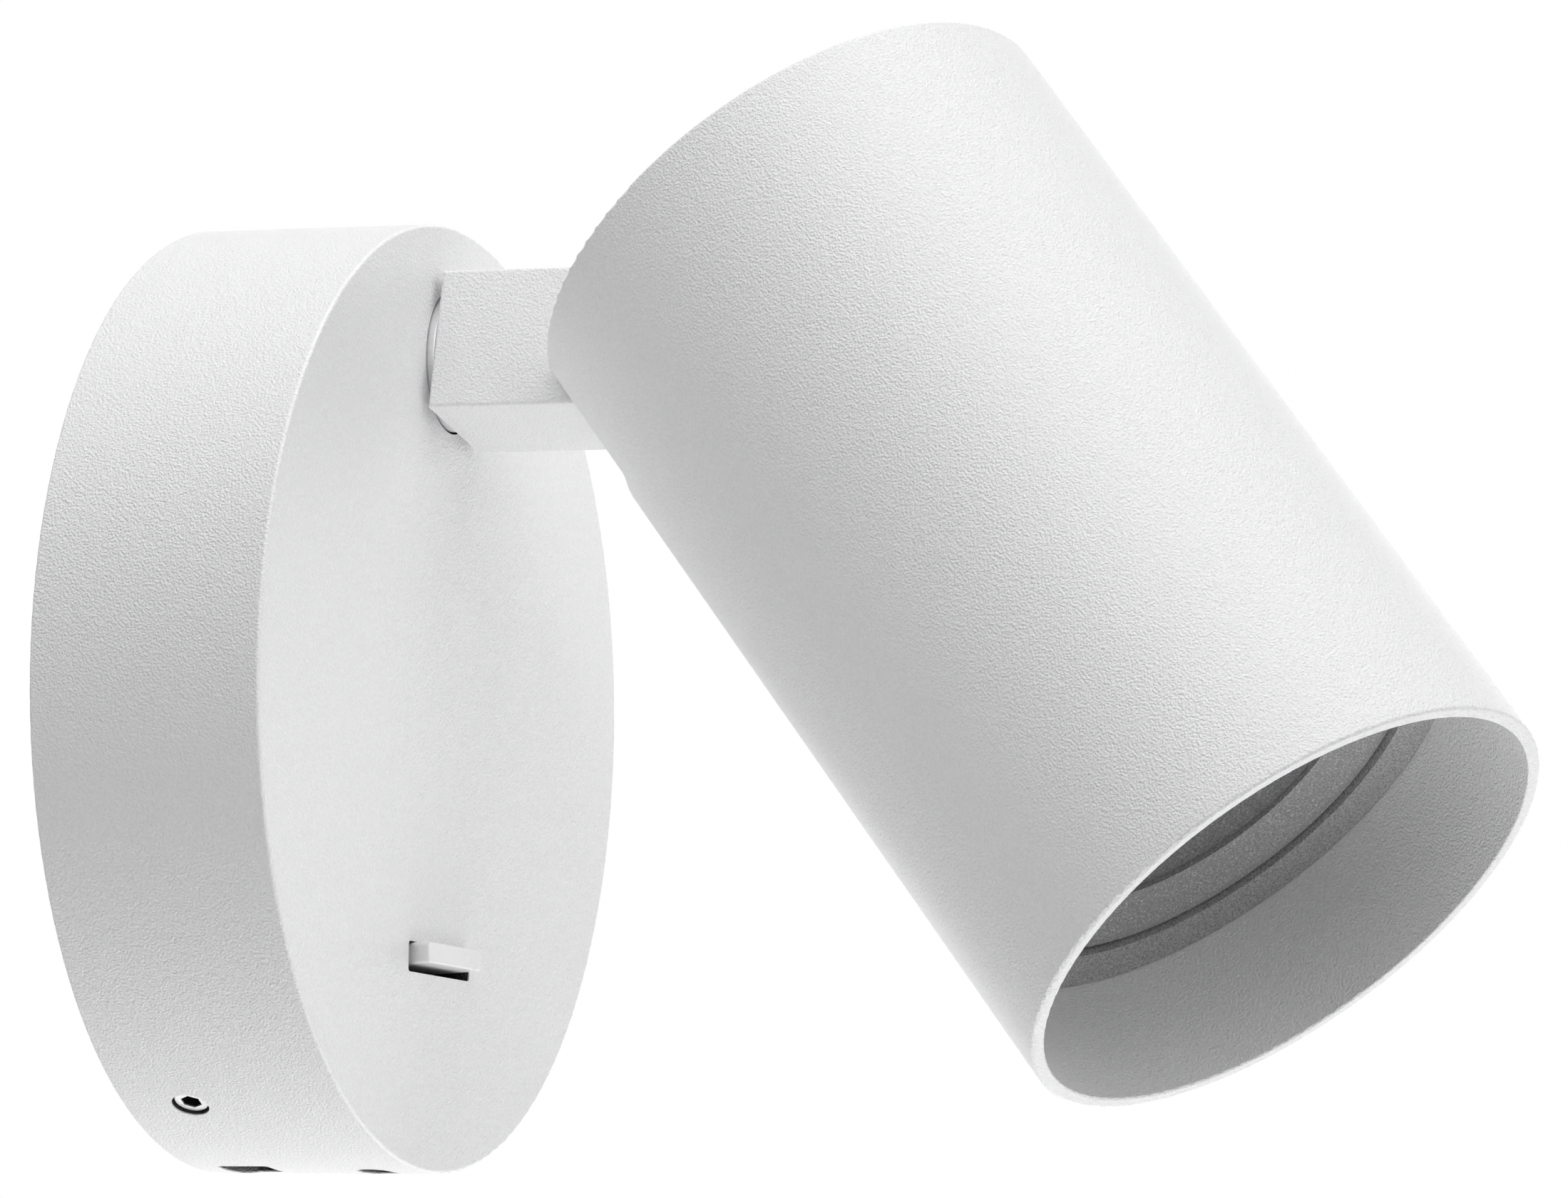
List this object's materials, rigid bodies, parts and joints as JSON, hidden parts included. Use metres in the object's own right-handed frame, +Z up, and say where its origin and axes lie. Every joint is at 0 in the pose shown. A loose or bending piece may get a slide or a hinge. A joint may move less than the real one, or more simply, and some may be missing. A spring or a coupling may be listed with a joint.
{
  "type": "wall light",
  "caption": "Wall light: round base with a rocker switch in front and charging sockets underneath, and a tubular spot that tilts and swivels on a square arm.",
  "frame": {"origin": "centre of the round base's back, on the wall, midway between the two fixing slots", "axes": "+Z up, -Y out of the wall towards the room, +X to the right of someone facing the wall"},
  "size_m": [0.1, 0.1458, 0.119],
  "materials": {
    "powder_coat": "fine orange-peel powder coat, satin white",
    "switch_white": "smooth white moulded plastic",
    "zinc_steel": "zinc-plated sheet",
    "bright_steel": "plated screws and nuts",
    "satin_stem": "turned, satin",
    "black_plastic": "moulded, fine matt grain",
    "socket_shell": "stamped and plated",
    "socket_tongue": "moulded insulator",
    "supply_case": "moulded case",
    "terminal_white": "moulded terminal block",
    "brass": "plain brass",
    "rubber": "soft black rubber",
    "nylon": "natural nylon",
    "ceramic": "unglazed ceramic",
    "lamp_shell": "satin light grey",
    "lamp_lens": "frosted lens",
    "ring_grey": "moulded grey trim"
  },
  "bodies": {
    "root": {"wall_bracket": "zinc_steel", "base_cover": "powder_coat", "cover_grub_screws": "bright_steel", "swivel_plate": "zinc_steel", "swivel_plate_screws": "bright_steel", "swivel_stop_peg": "bright_steel", "switch_housing": "black_plastic", "switch_screws": "bright_steel", "usb_module": "black_plastic", "usb_module_screws": "bright_steel", "usb_a_shell": "socket_shell", "usb_a_tongue": "socket_tongue", "usb_c_shell": "socket_shell", "usb_c_tongue": "socket_tongue", "power_supply": "supply_case", "power_supply_screws": "bright_steel", "terminal_block": "terminal_white", "terminal_screws": "brass", "earth_screw": "brass", "cable_grommet": "rubber"},
    "arm": {"arm_block": "powder_coat", "swivel_stem": "satin_stem", "swivel_friction_washer": "nylon", "swivel_stop_washer": "zinc_steel", "swivel_nut": "bright_steel"},
    "rocker": {"switch_rocker": "switch_white"},
    "head": {"lamp_tube": "powder_coat", "rear_cap": "powder_coat", "hinge_bracket": "zinc_steel", "hinge_bracket_screws": "bright_steel", "pivot_friction_washers": "nylon", "pivot_bolt": "bright_steel", "pivot_nut": "bright_steel", "lamp_holder": "ceramic", "lamp_holder_screws": "bright_steel", "lamp_body": "lamp_shell", "lamp_lens": "lamp_lens", "lamp_pins": "brass", "trim_ring": "ring_grey"}
  },
  "joints": [
    {"name": "arm_swivel", "type": "hinge", "parent": "root", "child": "arm", "pos_m": [0, -0.0253, 0.03575], "axis": [0, -1, 0], "range_deg": [-157.8, 182.2]},
    {"name": "head_tilt", "type": "hinge", "parent": "arm", "child": "head", "pos_m": [0, -0.05758, 0.03575], "axis": [0.9774, 0, -0.2113], "range_deg": [-51.4, 38.5]},
    {"name": "switch_rock", "type": "hinge", "parent": "root", "child": "rocker", "pos_m": [0, -0.019, -0.0277], "axis": [1, 0, 0], "range_deg": [0, 7.2]}
  ]
}
